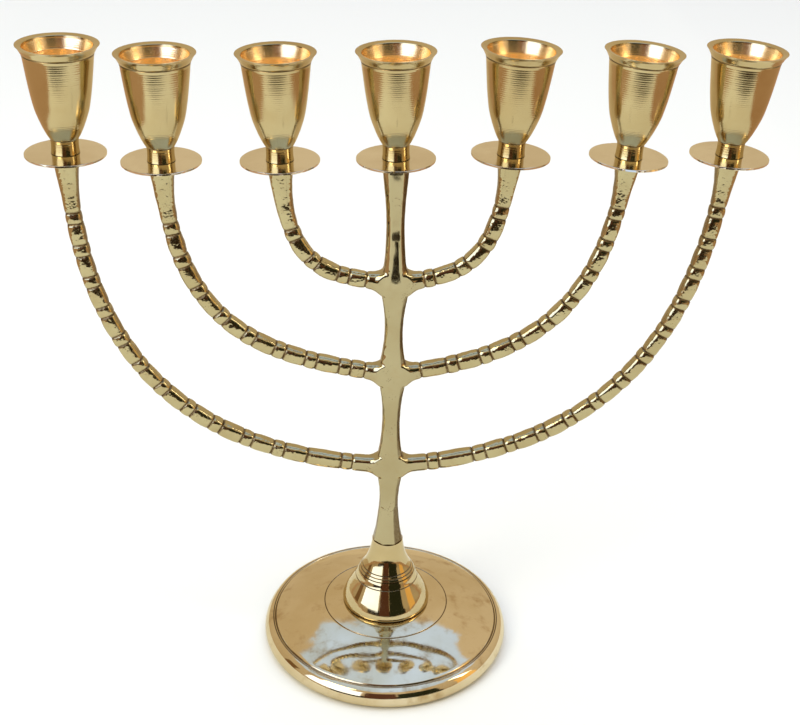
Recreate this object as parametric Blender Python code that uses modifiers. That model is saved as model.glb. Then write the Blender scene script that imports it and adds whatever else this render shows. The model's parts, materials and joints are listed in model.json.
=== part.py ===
"""Seven-branched brass menorah, modelled piece by piece in metres, +Z up.

The origin is the centre of the base on the ground.  The branches lie in the XZ plane.  The stem and its
six arms are one flat sand casting; the cups, drip pans, pedestal and base plate are turned on a lathe and
screwed together with studs, so each of them is its own closed solid with a small gap to its neighbours.
"""
import math

import bpy
import bmesh
from mathutils import Matrix, Vector

MM = 0.001
OBJECT_NAME = "menorah"
GAP = 0.3 * MM            # clearance between two pieces that touch
MERGE = 0.05 * MM         # merge distance of the turned profiles

# Base plate: a shallow dome on a convex rim, hollow underneath, with a boss in the middle.
PLATE_EDGE_R = 56.7 * MM
PLATE_EDGE_Z = 11.2 * MM
PLATE_SEAT_R = 22.8 * MM
PLATE_SEAT_Z = 21.0 * MM
DOME_RISE = 1.3 * MM      # how far the dome stands above a straight cone, halfway up
RIM_R = 62.2 * MM
RIM_WIDEST_Z = 4.4 * MM
RIM_BULGE = 1.6 * MM      # roundness of the rim above its widest point
RIM_CURL = 0.8 * MM       # and below it
RIM_FOOT_R = 59.0 * MM
RIM_WALL = 2.8 * MM
PLATE_WALL = 2.6 * MM
BOSS_R = 10.0 * MM
BOSS_Z = 15.0 * MM

# Pedestal: the turned bell between the base plate and the stem.
BELL_FOOT_R = 22.0 * MM
BELL_FOOT_Z = 23.0 * MM
BELL_FOOT_ROUND = 0.6 * MM
BELL_TOP_R = 7.6 * MM
BELL_TOP_Z = 58.4 * MM
BELL_CROWN = 16.0 * MM    # solid height above the hollow
BELL_WALL = 3.0 * MM
BELL_FLARE = ((7.9, 55.8), (8.5, 52.5), (9.5, 48.9), (10.8, 45.6), (12.2, 43.0), (14.5, 39.2), (16.4, 34.9),
              (18.1, 31.8), (19.9, 28.6), (21.3, 25.3))
BELL_INSIDE = ((15.6, 30.0), (9.0, 42.4))

# Stem: a flat-faced column, waisted between the arms, on an eight-sided foot.
STEM_DEPTH = 9.0 * MM
STEM_CHAMFER = 1.3 * MM
STEM_END_W = 6.1 * MM
STEM_FOOT_R = 7.3 * MM
STEM_FOOT_FLARE = ((4.9, 92.0), (4.7, 84.0), (5.1, 77.0), (5.7, 71.0), (6.5, 64.0))
FOOT_SIDES = 8

# Arms: swept along one cubic curve each, with a bead-and-reel surface and a plain post at the end.
ARM_R = 3.75 * MM
ARM_FLATTEN = 0.9
GROOVE_DEPTH = 0.6 * MM
BARREL_LENGTH = 10.6 * MM
BEAD_LENGTH = 5.4 * MM
POST_LENGTH = 23.0 * MM
POST_END_R = 5.9 * MM
ROOT_LENGTH = 9.0 * MM
ARM_ROOT_X = 1.0 * MM

# Each pair of arms: height where it leaves the stem, slope there in degrees, and the two curve handles.
ARM_PAIRS = {
    "outer": {"root_z": 102.0 * MM, "slope": 3.0, "root_handle": 74.0 * MM, "end_handle": 119.0 * MM},
    "middle": {"root_z": 152.6 * MM, "slope": 9.0, "root_handle": 50.0 * MM, "end_handle": 87.0 * MM},
    "inner": {"root_z": 199.8 * MM, "slope": 9.0, "root_handle": 27.0 * MM, "end_handle": 55.0 * MM},
}

# The seven lights, left to right: distance from the middle, height of the pan's top, sideways lean in
# degrees.  The object is assembled by hand, so no two of them sit quite alike.
LIGHTS = (
    {"pair": "outer", "x": -142.8 * MM, "z": 261.2 * MM, "lean": 0.6},
    {"pair": "middle", "x": -102.4 * MM, "z": 258.0 * MM, "lean": -0.5},
    {"pair": "inner", "x": -51.5 * MM, "z": 258.8 * MM, "lean": -1.6},
    {"pair": None, "x": -1.2 * MM, "z": 260.2 * MM, "lean": -1.5},
    {"pair": "inner", "x": 48.9 * MM, "z": 262.2 * MM, "lean": 1.9},
    {"pair": "middle", "x": 101.0 * MM, "z": 261.7 * MM, "lean": 2.6},
    {"pair": "outer", "x": 145.7 * MM, "z": 263.0 * MM, "lean": 1.7},
)
MIDDLE_LIGHT = LIGHTS[3]

# Drip pan and candle cup, measured from the top face of the pan.
PAN_R = 17.4 * MM
PAN_THICK = 1.0 * MM
PAN_BEVEL = 0.3 * MM
NECK_R = 6.0 * MM
NECK_WAIST_R = 5.8 * MM
NECK_Z = 6.5 * MM
CUP_RIM_R = 17.3 * MM
CUP_MOUTH_R = 14.6 * MM
CUP_Z = 46.9 * MM
CUP_FLOOR_Z = 13.0 * MM
CUP_FLOOR_R = 7.0 * MM
LIP_R = 15.1 * MM
LIP_Z = 43.1 * MM
CUP_BOWL = ((14.8, 42.4), (14.0, 36.0), (13.25, 30.0), (12.4, 24.5), (11.3, 19.0), (9.5, 13.6), (7.7, 9.3))
CUP_WALL = ((9.0, 16.6), (10.6, 23.0), (11.9, 32.0), (13.2, 41.0))

# Fasteners: a short stud joins each arm, pan and cup; a long stud, washer and nut clamp the foot.
STUD_BEVEL = 0.5 * MM
CUP_STUD_R = 2.5 * MM
CUP_STUD_DOWN = 8.0 * MM
CUP_STUD_UP = 7.0 * MM
TIE_R = 3.0 * MM
TIE_LOW_Z = 8.0 * MM
TIE_TOP_Z = 76.0 * MM
WASHER_R = 8.0 * MM
WASHER_THICK = 1.2 * MM
NUT_ACROSS_FLATS = 10.0 * MM
NUT_HEIGHT = 5.0 * MM

TURN_STEPS = 36
CUP_STEPS = 20
SMALL_STEPS = 12

parts = None
cutters = None


def clear_scene():
    for obj in list(bpy.data.objects):
        bpy.data.objects.remove(obj)
    for collection in list(bpy.data.collections):
        bpy.data.collections.remove(collection)


def make_collection(name):
    collection = bpy.data.collections.new(name)
    bpy.context.scene.collection.children.link(collection)
    return collection


def brass(name, colour, roughness):
    material = bpy.data.materials.new(name)
    material.use_nodes = True
    shader = material.node_tree.nodes["Principled BSDF"]
    shader.inputs["Base Color"].default_value = (*colour, 1.0)
    shader.inputs["Metallic"].default_value = 1.0
    shader.inputs["Roughness"].default_value = roughness
    material.diffuse_color = (*colour, 1.0)
    return material


def baked(obj):
    """Replace an object by a welded mesh of its evaluated shape, keeping its place."""
    depsgraph = bpy.context.evaluated_depsgraph_get()
    mesh = bpy.data.meshes.new_from_object(obj.evaluated_get(depsgraph))
    mesh.name = obj.name
    shape = bmesh.new()
    shape.from_mesh(mesh)
    bmesh.ops.remove_doubles(shape, verts=shape.verts, dist=MERGE)
    shape.to_mesh(mesh)
    shape.free()
    mesh.materials.clear()
    name = obj.name
    place_in_world = obj.matrix_world.copy()
    collections = list(obj.users_collection)
    bpy.data.objects.remove(obj)
    result = bpy.data.objects.new(name, mesh)
    result.matrix_world = place_in_world
    for collection in collections:
        collection.objects.link(result)
    return result


def turned(name, outline, steps, collection):
    """Turn an (r, z) outline, given down its outer side, about the Z axis."""
    closed = outline[0][0] > 0.0
    mesh = bpy.data.meshes.new(name)
    points = [(r, 0.0, z) for r, z in outline]
    edges = [(i, i + 1) for i in range(len(points) - 1)]
    if closed:
        edges.append((len(points) - 1, 0))
    mesh.from_pydata(points, edges, [])
    obj = bpy.data.objects.new(name, mesh)
    collection.objects.link(obj)
    turn = obj.modifiers.new("Turn", "SCREW")
    turn.axis = "Z"
    turn.angle = math.tau
    turn.steps = steps
    turn.render_steps = steps
    turn.use_merge_vertices = True
    turn.merge_threshold = MERGE
    turn.use_smooth_shade = True
    return baked(obj)


def finish(obj, material, sharp_angle=32.0):
    obj.data.materials.clear()
    obj.data.materials.append(material)
    obj.data.shade_smooth()
    obj.data.set_sharp_from_angle(angle=math.radians(sharp_angle))
    return obj


def bowed(start, end, bulge, count):
    """Points from start to end, bowed to the left of that direction; start itself is left out."""
    across = Vector((end[0] - start[0], end[1] - start[1]))
    normal = Vector((-across.y, across.x)).normalized()
    shares = [i / count for i in range(1, count + 1)]
    return [tuple(Vector(start) + across * t + normal * (4.0 * bulge * t * (1.0 - t))) for t in shares]


def in_mm(rows):
    return [(r * MM, z * MM) for r, z in rows]


def base_plate(material):
    """Shallow dome, convex rim, hollow underside, and a boss with a clearance hole for the tie stud."""
    hole_r = TIE_R + GAP
    seat = (PLATE_SEAT_R, PLATE_SEAT_Z)
    edge = (PLATE_EDGE_R, PLATE_EDGE_Z)
    outline = [(hole_r, PLATE_SEAT_Z), seat]
    outline += bowed(seat, edge, DOME_RISE, 4)
    widest = (RIM_R, RIM_WIDEST_Z)
    outline += bowed(edge, widest, RIM_BULGE, 4) + bowed(widest, (RIM_FOOT_R, 0.0), RIM_CURL, 3)
    outline += [(RIM_FOOT_R - RIM_WALL, 0.0)]
    under_edge = (PLATE_EDGE_R - PLATE_WALL, PLATE_EDGE_Z - PLATE_WALL)
    under_boss = (BOSS_R, PLATE_SEAT_Z - PLATE_WALL)
    outline += [under_edge]
    outline += bowed(under_edge, under_boss, -DOME_RISE, 3)
    outline += [(BOSS_R, BOSS_Z), (hole_r, BOSS_Z)]
    return finish(turned("base_plate", outline, TURN_STEPS, parts), material)


def pedestal(material):
    """Turned bell: concave below its top, convex at its foot, hollow inside with a bored crown."""
    hole_r = TIE_R + GAP
    bottom = PLATE_SEAT_Z + GAP
    foot_r = BELL_FOOT_R - BELL_FOOT_ROUND
    crown_z = BELL_TOP_Z - BELL_CROWN
    outer = [(BELL_TOP_R, BELL_TOP_Z)] + in_mm(BELL_FLARE) + [(BELL_FOOT_R, BELL_FOOT_Z), (foot_r, bottom)]
    inner = [(foot_r - BELL_WALL, bottom)] + in_mm(BELL_INSIDE)
    outline = [(hole_r, BELL_TOP_Z)] + outer + inner + [(hole_r, crown_z)]
    return finish(turned("pedestal", outline, TURN_STEPS, parts), material)


def cubic(p0, p1, p2, p3, t):
    s = 1.0 - t
    return p0 * s ** 3 + p1 * (3 * s * s * t) + p2 * (3 * s * t * t) + p3 * t ** 3


def light_axis(light):
    """Unit vector up the cup's own axis."""
    lean = math.radians(light["lean"])
    return Vector((math.sin(lean), 0.0, math.cos(lean)))


def arm_end(light):
    """Centre of the flat end of the arm, just below the pan."""
    place = Vector((light["x"], 0.0, light["z"]))
    return place - light_axis(light) * (PAN_THICK + GAP)


def arm_path(light, samples=400):
    """Even table of (distance, point) along the arm, from inside the stem to the flat end."""
    pair = ARM_PAIRS[light["pair"]]
    side = math.copysign(1.0, light["x"])
    slope = math.radians(pair["slope"])
    root = Vector((side * ARM_ROOT_X, 0.0, pair["root_z"]))
    end = arm_end(light)
    root_handle = root + Vector((side * math.cos(slope), 0.0, math.sin(slope))) * pair["root_handle"]
    end_handle = end - light_axis(light) * pair["end_handle"]
    points = [cubic(root, root_handle, end_handle, end, i / samples) for i in range(samples + 1)]
    table = [(0.0, points[0])]
    for before, after in zip(points, points[1:]):
        table.append((table[-1][0] + (after - before).length, after))
    return table


def along(table, distance):
    """Point of the path at one distance from its root."""
    for (d0, p0), (d1, p1) in zip(table, table[1:]):
        if distance <= d1:
            return p0.lerp(p1, (distance - d0) / (d1 - d0))
    return table[-1][1]


def arm_stations(length):
    """(distance, radius) pairs: a plain root, alternating barrels and beads, then the flaring post."""
    post_start = length - POST_LENGTH
    cuts = [post_start]
    steps = (BEAD_LENGTH, BARREL_LENGTH)
    while cuts[-1] - steps[(len(cuts) - 1) % 2] > ROOT_LENGTH:
        cuts.append(cuts[-1] - steps[(len(cuts) - 1) % 2])
    cuts.reverse()
    groove_r = ARM_R - GROOVE_DEPTH
    stations = [(0.0, ARM_R), (cuts[0] - 1.2 * MM, ARM_R)]
    for start, end in zip(cuts, cuts[1:]):
        stations.append((start, groove_r))
        if end - start > 1.5 * BEAD_LENGTH:
            stations.append((start + 1.8 * MM, ARM_R))
            stations.append((end - 1.8 * MM, ARM_R))
        else:
            stations.append(((start + end) / 2, ARM_R))
    stations.append((post_start, groove_r))
    stations.append((post_start + 1.5 * MM, ARM_R))
    post_steps = 5
    for i in range(1, post_steps + 1):
        share = i / post_steps
        stations.append((post_start + 1.5 * MM + (POST_LENGTH - 1.5 * MM) * share,
                         ARM_R + (POST_END_R - ARM_R) * share ** 1.7))
    return stations


def stem_half_widths():
    """(z, half width) up the stem: a waist between the arms and a swelling at each pair of roots."""
    waist = 4.1 * MM
    swell = 6.9 * MM
    roots = sorted(pair["root_z"] for pair in ARM_PAIRS.values())
    rows = [(84.0 * MM, 4.5 * MM), (92.0 * MM, 4.9 * MM)]
    for lower, upper in zip(roots, roots[1:] + [None]):
        rows += [(lower - 5.0 * MM, 0.86 * swell), (lower, swell), (lower + 5.5 * MM, 0.84 * swell)]
        if upper:
            rows += [(lower + 12.0 * MM, 1.2 * waist), ((lower + upper) / 2, waist),
                     (upper - 12.0 * MM, 1.2 * waist)]
    rows += [(213.0 * MM, 4.7 * MM), (221.0 * MM, 4.2 * MM), (232.0 * MM, 4.0 * MM), (241.0 * MM, 4.5 * MM),
             (250.0 * MM, 5.4 * MM)]
    return rows


def stem_centre(z):
    """The stem stands upright up to the inner arms and leans slightly above them."""
    lean_from = ARM_PAIRS["inner"]["root_z"]
    share = max(0.0, (z - lean_from) / (MIDDLE_LIGHT["z"] - lean_from))
    return MIDDLE_LIGHT["x"] * share


def stem():
    """Flat column cut from an outline, with chamfered edges."""
    rows = stem_half_widths()
    right = [(stem_centre(z) + w, z) for z, w in rows]
    left = [(stem_centre(z) - w, z) for z, w in rows]
    end = arm_end(MIDDLE_LIGHT)
    across = Vector((light_axis(MIDDLE_LIGHT).z, 0.0, -light_axis(MIDDLE_LIGHT).x)) * STEM_END_W
    right.append(((end + across).x, (end + across).z))
    left.append(((end - across).x, (end - across).z))
    outline = right + left[::-1]
    curve = bpy.data.curves.new("stem", "CURVE")
    curve.dimensions = "2D"
    curve.fill_mode = "BOTH"
    curve.extrude = STEM_DEPTH / 2
    spline = curve.splines.new("POLY")
    spline.points.add(len(outline) - 1)
    for point, (x, z) in zip(spline.points, outline):
        point.co = (x, z, 0.0, 1.0)
    spline.use_cyclic_u = True
    obj = bpy.data.objects.new("stem", curve)
    obj.rotation_euler = (math.radians(90.0), 0.0, 0.0)
    cutters.objects.link(obj)
    bpy.context.view_layer.update()
    obj = baked(obj)
    chamfer = obj.modifiers.new("Chamfer", "BEVEL")
    chamfer.width = STEM_CHAMFER
    chamfer.segments = 1
    chamfer.limit_method = "ANGLE"
    chamfer.angle_limit = math.radians(60.0)
    return baked(obj)


def stem_foot():
    """Eight-sided foot that flares down to the top of the pedestal."""
    top = STEM_FOOT_FLARE[0][1] * MM
    outline = [(0.0, top)] + in_mm(STEM_FOOT_FLARE)
    outline += [(STEM_FOOT_R, BELL_TOP_Z + GAP), (0.0, BELL_TOP_Z + GAP)]
    obj = turned("stem_foot", outline, FOOT_SIDES, cutters)
    obj.data.transform(Matrix.Rotation(math.radians(180.0 / FOOT_SIDES), 4, "Z"))
    return obj


def bore(name, radius, low, high, matrix, sides=SMALL_STEPS):
    """Upright prism from low to high along the matrix's own Z axis: a drill, or the blank of a nut."""
    bpy.ops.mesh.primitive_cylinder_add(vertices=sides, radius=radius, depth=high - low)
    obj = bpy.context.object
    obj.name = name
    half_step = Matrix.Rotation(math.pi / sides, 4, "Z")
    obj.data.transform(matrix @ Matrix.Translation((0.0, 0.0, (low + high) / 2)) @ half_step)
    bpy.context.scene.collection.objects.unlink(obj)
    cutters.objects.link(obj)
    return obj


def light_matrix(light):
    turn = Matrix.Rotation(math.radians(light["lean"]), 4, "Y")
    return Matrix.Translation((light["x"], 0.0, light["z"])) @ turn


def combine(body, tool, operation):
    """Add a Boolean and keep its operand as a hidden wire."""
    modifier = body.modifiers.new(f"{operation.title()} {tool.name}", "BOOLEAN")
    modifier.operation = operation
    modifier.object = tool
    modifier.solver = "EXACT"
    tool.hide_render = True
    tool.display_type = "WIRE"


def tapped_end(number, light):
    """Drill for the stud in the end of one arm."""
    depth = PAN_THICK + GAP + CUP_STUD_DOWN + GAP
    return bore(f"tapped_end_{number}", CUP_STUD_R + GAP, -depth, 1.0 * MM, light_matrix(light))


def arm(number, light):
    """One arm as a welded eight-sided tube with its own radius at each station."""
    table = arm_path(light)
    stations = arm_stations(table[-1][0])
    curve = bpy.data.curves.new(f"arm_{number}", "CURVE")
    curve.dimensions = "3D"
    curve.bevel_depth = 1.0
    curve.bevel_resolution = 2
    curve.use_fill_caps = True
    curve.twist_mode = "MINIMUM"
    spline = curve.splines.new("POLY")
    spline.points.add(len(stations) - 1)
    for point, (distance, radius) in zip(spline.points, stations):
        point.co = (*along(table, distance), 1.0)
        point.radius = radius
    obj = bpy.data.objects.new(f"arm_{number}", curve)
    cutters.objects.link(obj)
    obj = baked(obj)
    obj.data.transform(Matrix.Diagonal((1.0, ARM_FLATTEN, 1.0, 1.0)))
    combine(obj, tapped_end(number, light), "DIFFERENCE")
    return baked(obj)


def branch_casting(material):
    """Stem, foot and six arms in one casting, tapped at each end and at the foot."""
    body = stem()
    body.name = "branch_casting"
    cutters.objects.unlink(body)
    parts.objects.link(body)
    combine(body, stem_foot(), "UNION")
    middle = LIGHTS.index(MIDDLE_LIGHT) + 1
    combine(body, tapped_end(middle, MIDDLE_LIGHT), "DIFFERENCE")
    low = BELL_TOP_Z - 1.0 * MM
    combine(body, bore("tapped_foot", TIE_R + GAP, low, TIE_TOP_Z + GAP, Matrix.Identity(4)), "DIFFERENCE")
    for number, light in enumerate(LIGHTS, 1):
        if light["pair"]:
            combine(body, arm(number, light), "UNION")
    return finish(body, material)


def pan_mesh(material):
    """Thin flat disc with a hole for the stud; its top face is at z = 0."""
    hole_r = CUP_STUD_R + GAP
    inner_r = PAN_R - PAN_BEVEL
    outline = [(hole_r, 0.0), (inner_r, 0.0), (PAN_R, -PAN_BEVEL), (PAN_R, PAN_BEVEL - PAN_THICK),
               (inner_r, -PAN_THICK), (hole_r, -PAN_THICK)]
    return finish(turned("drip_pan", outline, CUP_STEPS, cutters), material)


def cup_mesh(material):
    """Tulip cup: waisted neck, curved bowl, scored line, flaring lip, and a blind hole up the neck."""
    stud_r = CUP_STUD_R + GAP
    stud_z = CUP_STUD_UP + GAP
    inside = [(0.0, CUP_FLOOR_Z), (CUP_FLOOR_R, CUP_FLOOR_Z)] + in_mm(CUP_WALL)
    lip = [(CUP_MOUTH_R, CUP_Z - 0.6 * MM), (CUP_RIM_R, CUP_Z), (CUP_RIM_R - MM, CUP_Z - 1.8 * MM),
           (LIP_R, LIP_Z)]
    neck = [(NECK_R, NECK_Z), (NECK_WAIST_R, NECK_Z / 2), (NECK_R, GAP)]
    outline = inside + lip + in_mm(CUP_BOWL) + neck + [(stud_r, GAP), (stud_r, stud_z), (0.0, stud_z)]
    return finish(turned("candle_cup", outline, CUP_STEPS, cutters), material)


def stud_mesh(name, radius, low, high, material):
    """Plain round stud with chamfered ends, along Z."""
    inner_r = radius - STUD_BEVEL
    outline = [(0.0, high), (inner_r, high), (radius, high - STUD_BEVEL), (radius, low + STUD_BEVEL),
               (inner_r, low), (0.0, low)]
    return finish(turned(name, outline, SMALL_STEPS, cutters), material)


def place(name, shape, parent, height=0.0):
    """New object that shares a mesh, set on its parent empty."""
    obj = bpy.data.objects.new(name, shape.data)
    parts.objects.link(obj)
    obj.parent = parent
    obj.location = (0.0, 0.0, height)
    return obj


def light_sets(polished, turned_brass, steel):
    """Pan, cup and stud of each light, on an empty at the top of its pan."""
    pan = pan_mesh(polished)
    cup = cup_mesh(turned_brass)
    low = -(PAN_THICK + GAP + CUP_STUD_DOWN)
    stud = stud_mesh("cup_stud", CUP_STUD_R, low, CUP_STUD_UP, steel)
    for number, light in enumerate(LIGHTS, 1):
        seat = bpy.data.objects.new(f"light_{number}", None)
        seat.empty_display_size = 20.0 * MM
        seat.location = (light["x"], 0.0, light["z"])
        seat.rotation_euler = (0.0, math.radians(light["lean"]), 0.0)
        parts.objects.link(seat)
        place(f"drip_pan_{number}", pan, seat)
        place(f"candle_cup_{number}", cup, seat)
        place(f"cup_stud_{number}", stud, seat)
    for shape in (pan, cup, stud):
        bpy.data.objects.remove(shape)


def foot_fasteners(steel):
    """Long tie stud up through base and pedestal into the stem, with a washer and a nut below."""
    tie = stud_mesh("tie_stud", TIE_R, TIE_LOW_Z, TIE_TOP_Z, steel)
    cutters.objects.unlink(tie)
    parts.objects.link(tie)
    hole_r = TIE_R + GAP
    washer_top = BOSS_Z - GAP
    washer_low = washer_top - WASHER_THICK
    washer = [(hole_r, washer_top), (WASHER_R, washer_top), (WASHER_R, washer_low), (hole_r, washer_low)]
    finish(turned("tie_washer", washer, 2 * SMALL_STEPS, parts), steel)
    nut_top = washer_low - GAP
    nut_low = nut_top - NUT_HEIGHT
    nut = bore("tie_nut", NUT_ACROSS_FLATS / 2 / math.cos(math.radians(30.0)), nut_low, nut_top,
               Matrix.Identity(4), sides=6)
    cutters.objects.unlink(nut)
    parts.objects.link(nut)
    combine(nut, bore("nut_bore", hole_r, nut_low - MM, nut_top + MM, Matrix.Identity(4)), "DIFFERENCE")
    finish(nut, steel)


def build():
    global parts, cutters
    clear_scene()
    parts = make_collection(OBJECT_NAME)
    cutters = make_collection("cutters")
    polished = brass("polished_brass", (0.83, 0.68, 0.38), 0.12)
    turned_brass = brass("turned_brass", (0.80, 0.63, 0.33), 0.2)
    cast_brass = brass("cast_brass", (0.76, 0.62, 0.36), 0.28)
    steel = brass("plated_steel", (0.62, 0.61, 0.58), 0.35)
    base_plate(polished)
    pedestal(polished)
    branch_casting(cast_brass)
    light_sets(polished, turned_brass, steel)
    foot_fasteners(steel)


build()
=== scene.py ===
import json
import math
import random

import bpy
from mathutils import Matrix, Vector


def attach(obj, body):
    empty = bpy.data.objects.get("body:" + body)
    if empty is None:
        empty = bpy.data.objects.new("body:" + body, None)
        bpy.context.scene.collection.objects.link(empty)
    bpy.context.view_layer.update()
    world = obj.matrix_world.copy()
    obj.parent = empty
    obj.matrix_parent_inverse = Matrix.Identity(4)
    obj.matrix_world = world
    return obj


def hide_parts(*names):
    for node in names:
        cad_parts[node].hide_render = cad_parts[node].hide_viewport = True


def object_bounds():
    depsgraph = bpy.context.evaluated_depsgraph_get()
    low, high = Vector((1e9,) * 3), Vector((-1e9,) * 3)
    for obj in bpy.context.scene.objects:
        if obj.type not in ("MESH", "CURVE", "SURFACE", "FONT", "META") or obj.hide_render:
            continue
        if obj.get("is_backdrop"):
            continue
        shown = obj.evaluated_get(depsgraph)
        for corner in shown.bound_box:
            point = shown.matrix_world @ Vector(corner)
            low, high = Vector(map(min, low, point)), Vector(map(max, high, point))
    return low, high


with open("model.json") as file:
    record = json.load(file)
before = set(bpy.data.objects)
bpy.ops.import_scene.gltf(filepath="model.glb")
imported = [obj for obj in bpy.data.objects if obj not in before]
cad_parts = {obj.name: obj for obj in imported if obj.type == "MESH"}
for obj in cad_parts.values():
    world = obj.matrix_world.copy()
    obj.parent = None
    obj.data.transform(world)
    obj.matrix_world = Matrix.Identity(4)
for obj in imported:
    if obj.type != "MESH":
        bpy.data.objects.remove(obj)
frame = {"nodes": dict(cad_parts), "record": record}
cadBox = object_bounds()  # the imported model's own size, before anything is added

mm = 0.001
dice = random.Random(7)
print("frame loaded:", len(frame["nodes"]), "CAD nodes")


def letGo():
    # nothing selected, nothing in edit mode
    if bpy.context.object and bpy.context.object.mode != "OBJECT":
        bpy.ops.object.mode_set(mode="OBJECT")
    bpy.ops.object.select_all(action="DESELECT")


def pick(thing):
    letGo()
    thing.select_set(True)
    bpy.context.view_layer.objects.active = thing
    return thing


def pressOn(thing, kind, **settings):
    # add one modifier and apply it straight away
    pick(thing)
    modifier = thing.modifiers.new(kind.title(), kind)
    for key, value in settings.items():
        setattr(modifier, key, value)
    bpy.ops.object.modifier_apply(modifier=modifier.name)
    return thing


def cleanUp(thing, near=0.004 * mm):
    # weld what lies together and turn every face outwards
    pick(thing)
    bpy.ops.object.mode_set(mode="EDIT")
    bpy.ops.mesh.select_all(action="SELECT")
    bpy.ops.mesh.remove_doubles(threshold=near)
    bpy.ops.mesh.normals_make_consistent(inside=False)
    bpy.ops.object.mode_set(mode="OBJECT")
    return thing


def softenEdges(thing, width, segments=2, angle=35):
    # round every sharp edge a little, as the buffing wheel does
    return pressOn(thing, "BEVEL", width=width * mm, segments=segments, limit_method="ANGLE",
                   angle_limit=math.radians(angle))


def smoothOff(thing, angle=28):
    pick(thing)
    bpy.ops.object.shade_smooth_by_angle(angle=math.radians(angle))
    return thing


def drawAndSpin(name, outline, sides, about="Z", closed=False):
    # an outline of (radius, height) in millimetres, drawn point by point and spun on the lathe
    letGo()
    bpy.ops.mesh.primitive_plane_add(size=mm, location=(0, 0, 0))
    thing = bpy.context.object
    thing.name = name
    thing.data.name = name
    bpy.ops.object.mode_set(mode="EDIT")
    bpy.ops.mesh.select_all(action="SELECT")
    bpy.ops.mesh.merge(type="CENTER")

    def at(point):
        radius, height = point[0] * mm, point[1] * mm
        return Vector((radius, 0, height)) if about == "Z" else Vector((height, 0, radius))

    bpy.ops.transform.translate(value=at(outline[0]))
    for before, after in zip(outline, outline[1:]):
        step = at(after) - at(before)
        bpy.ops.mesh.extrude_vertices_move(TRANSFORM_OT_translate={"value": step})
    if closed:
        step = at(outline[0]) - at(outline[-1])
        bpy.ops.mesh.extrude_vertices_move(TRANSFORM_OT_translate={"value": step})
    bpy.ops.mesh.select_all(action="SELECT")
    axis = (0, 0, 1) if about == "Z" else (1, 0, 0)
    bpy.ops.mesh.spin(steps=sides, angle=math.tau, center=(0, 0, 0), axis=axis)
    bpy.ops.object.mode_set(mode="OBJECT")
    return cleanUp(thing)


def eased(points, parts=4):
    # a smooth line through the given points
    line = []
    for i in range(len(points) - 1):
        a = points[max(i - 1, 0)]
        b, c = points[i], points[i + 1]
        d = points[min(i + 2, len(points) - 1)]
        for k in range(parts):
            t = k / parts
            line.append(tuple(
                0.5 * (2 * b[j] + (c[j] - a[j]) * t
                       + (2 * a[j] - 5 * b[j] + 4 * c[j] - d[j]) * t * t
                       + (3 * b[j] - a[j] - 3 * c[j] + d[j]) * t ** 3)
                for j in (0, 1)))
    return line + [tuple(points[-1])]


def scored(line, heights, depth, width, key=1):
    # cut fine V lines into an outline where it crosses the given heights (key=1) or radii (key=0)
    cut = [line[0]]
    for before, after in zip(line, line[1:]):
        here = []
        for level in heights:
            low, high = sorted((before[key], after[key]))
            if low <= level < high:
                here.append((level - before[key]) / (after[key] - before[key]))
        run = Vector((after[0] - before[0], after[1] - before[1]))
        for share in sorted(here):
            middle = Vector(before) + run * share
            along = run.normalized()
            inward = Vector((-along.y, along.x))
            if key == 1 and inward.x > 0 or key == 0 and inward.y > 0:
                inward = -inward
            for step, deep in ((-width, 0), (0, depth), (width, 0)):
                cut.append(tuple(middle + along * step + inward * deep))
        cut.append(after)
    return cut


def keepLathePlace(thing):
    # the place of each point as it was on the lathe, for the turning marks
    marks = thing.data.attributes.new("lathePlace", "FLOAT_VECTOR", "POINT")
    flat = [value for vertex in thing.data.vertices for value in vertex.co]
    marks.data.foreach_set("vector", flat)
    return thing


def paintGrimeAndShade(thing, marks, reach, measure):
    # how dark each point is painted, from how near it lies to a cut: dirt and painted shade in the grooves;
    # measure gives where along the cuts it is
    grime = thing.data.attributes.new("grime", "FLOAT", "POINT")
    gaps = [min(abs(measure(vertex.co) / mm - mark) for mark in marks) for vertex in thing.data.vertices]
    grime.data.foreach_set("value", [max(0.0, 1 - gap / reach) for gap in gaps])


def shadeFlanks(thing, flanks):
    # painted shade on the sides turned away from the light: (direction, from, to, how much) for each shaded
    # side
    grime = thing.data.attributes.get("grime") or thing.data.attributes.new("grime", "FLOAT", "POINT")
    values = [0.0] * len(thing.data.vertices)
    grime.data.foreach_get("value", values)
    for i, vertex in enumerate(thing.data.vertices):
        for direction, low, high, amount in flanks:
            share = (vertex.normal.dot(direction) - low) / (high - low)
            values[i] = max(values[i], amount * min(1.0, max(0.0, share)))
    grime.data.foreach_set("value", values)


def copyOf(thing, name):
    twin = thing.copy()
    twin.data = thing.data.copy()
    twin.name = name
    twin.data.name = name
    bpy.context.collection.objects.link(twin)
    return twin


def throwAway(*things):
    for thing in things:
        bpy.data.objects.remove(thing)


def settle(thing, matrix):
    # put the piece in its place and leave its object at the origin
    pick(thing)
    thing.matrix_world = matrix
    bpy.context.view_layer.update()
    bpy.ops.object.transform_apply(location=True, rotation=True, scale=True)
    return thing


def handOver(thing, slotName, finish, *nodes):
    thing.data.materials.clear()
    thing.data.materials.append(finish)
    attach(thing, "root")
    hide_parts(*nodes)
    return thing


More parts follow.
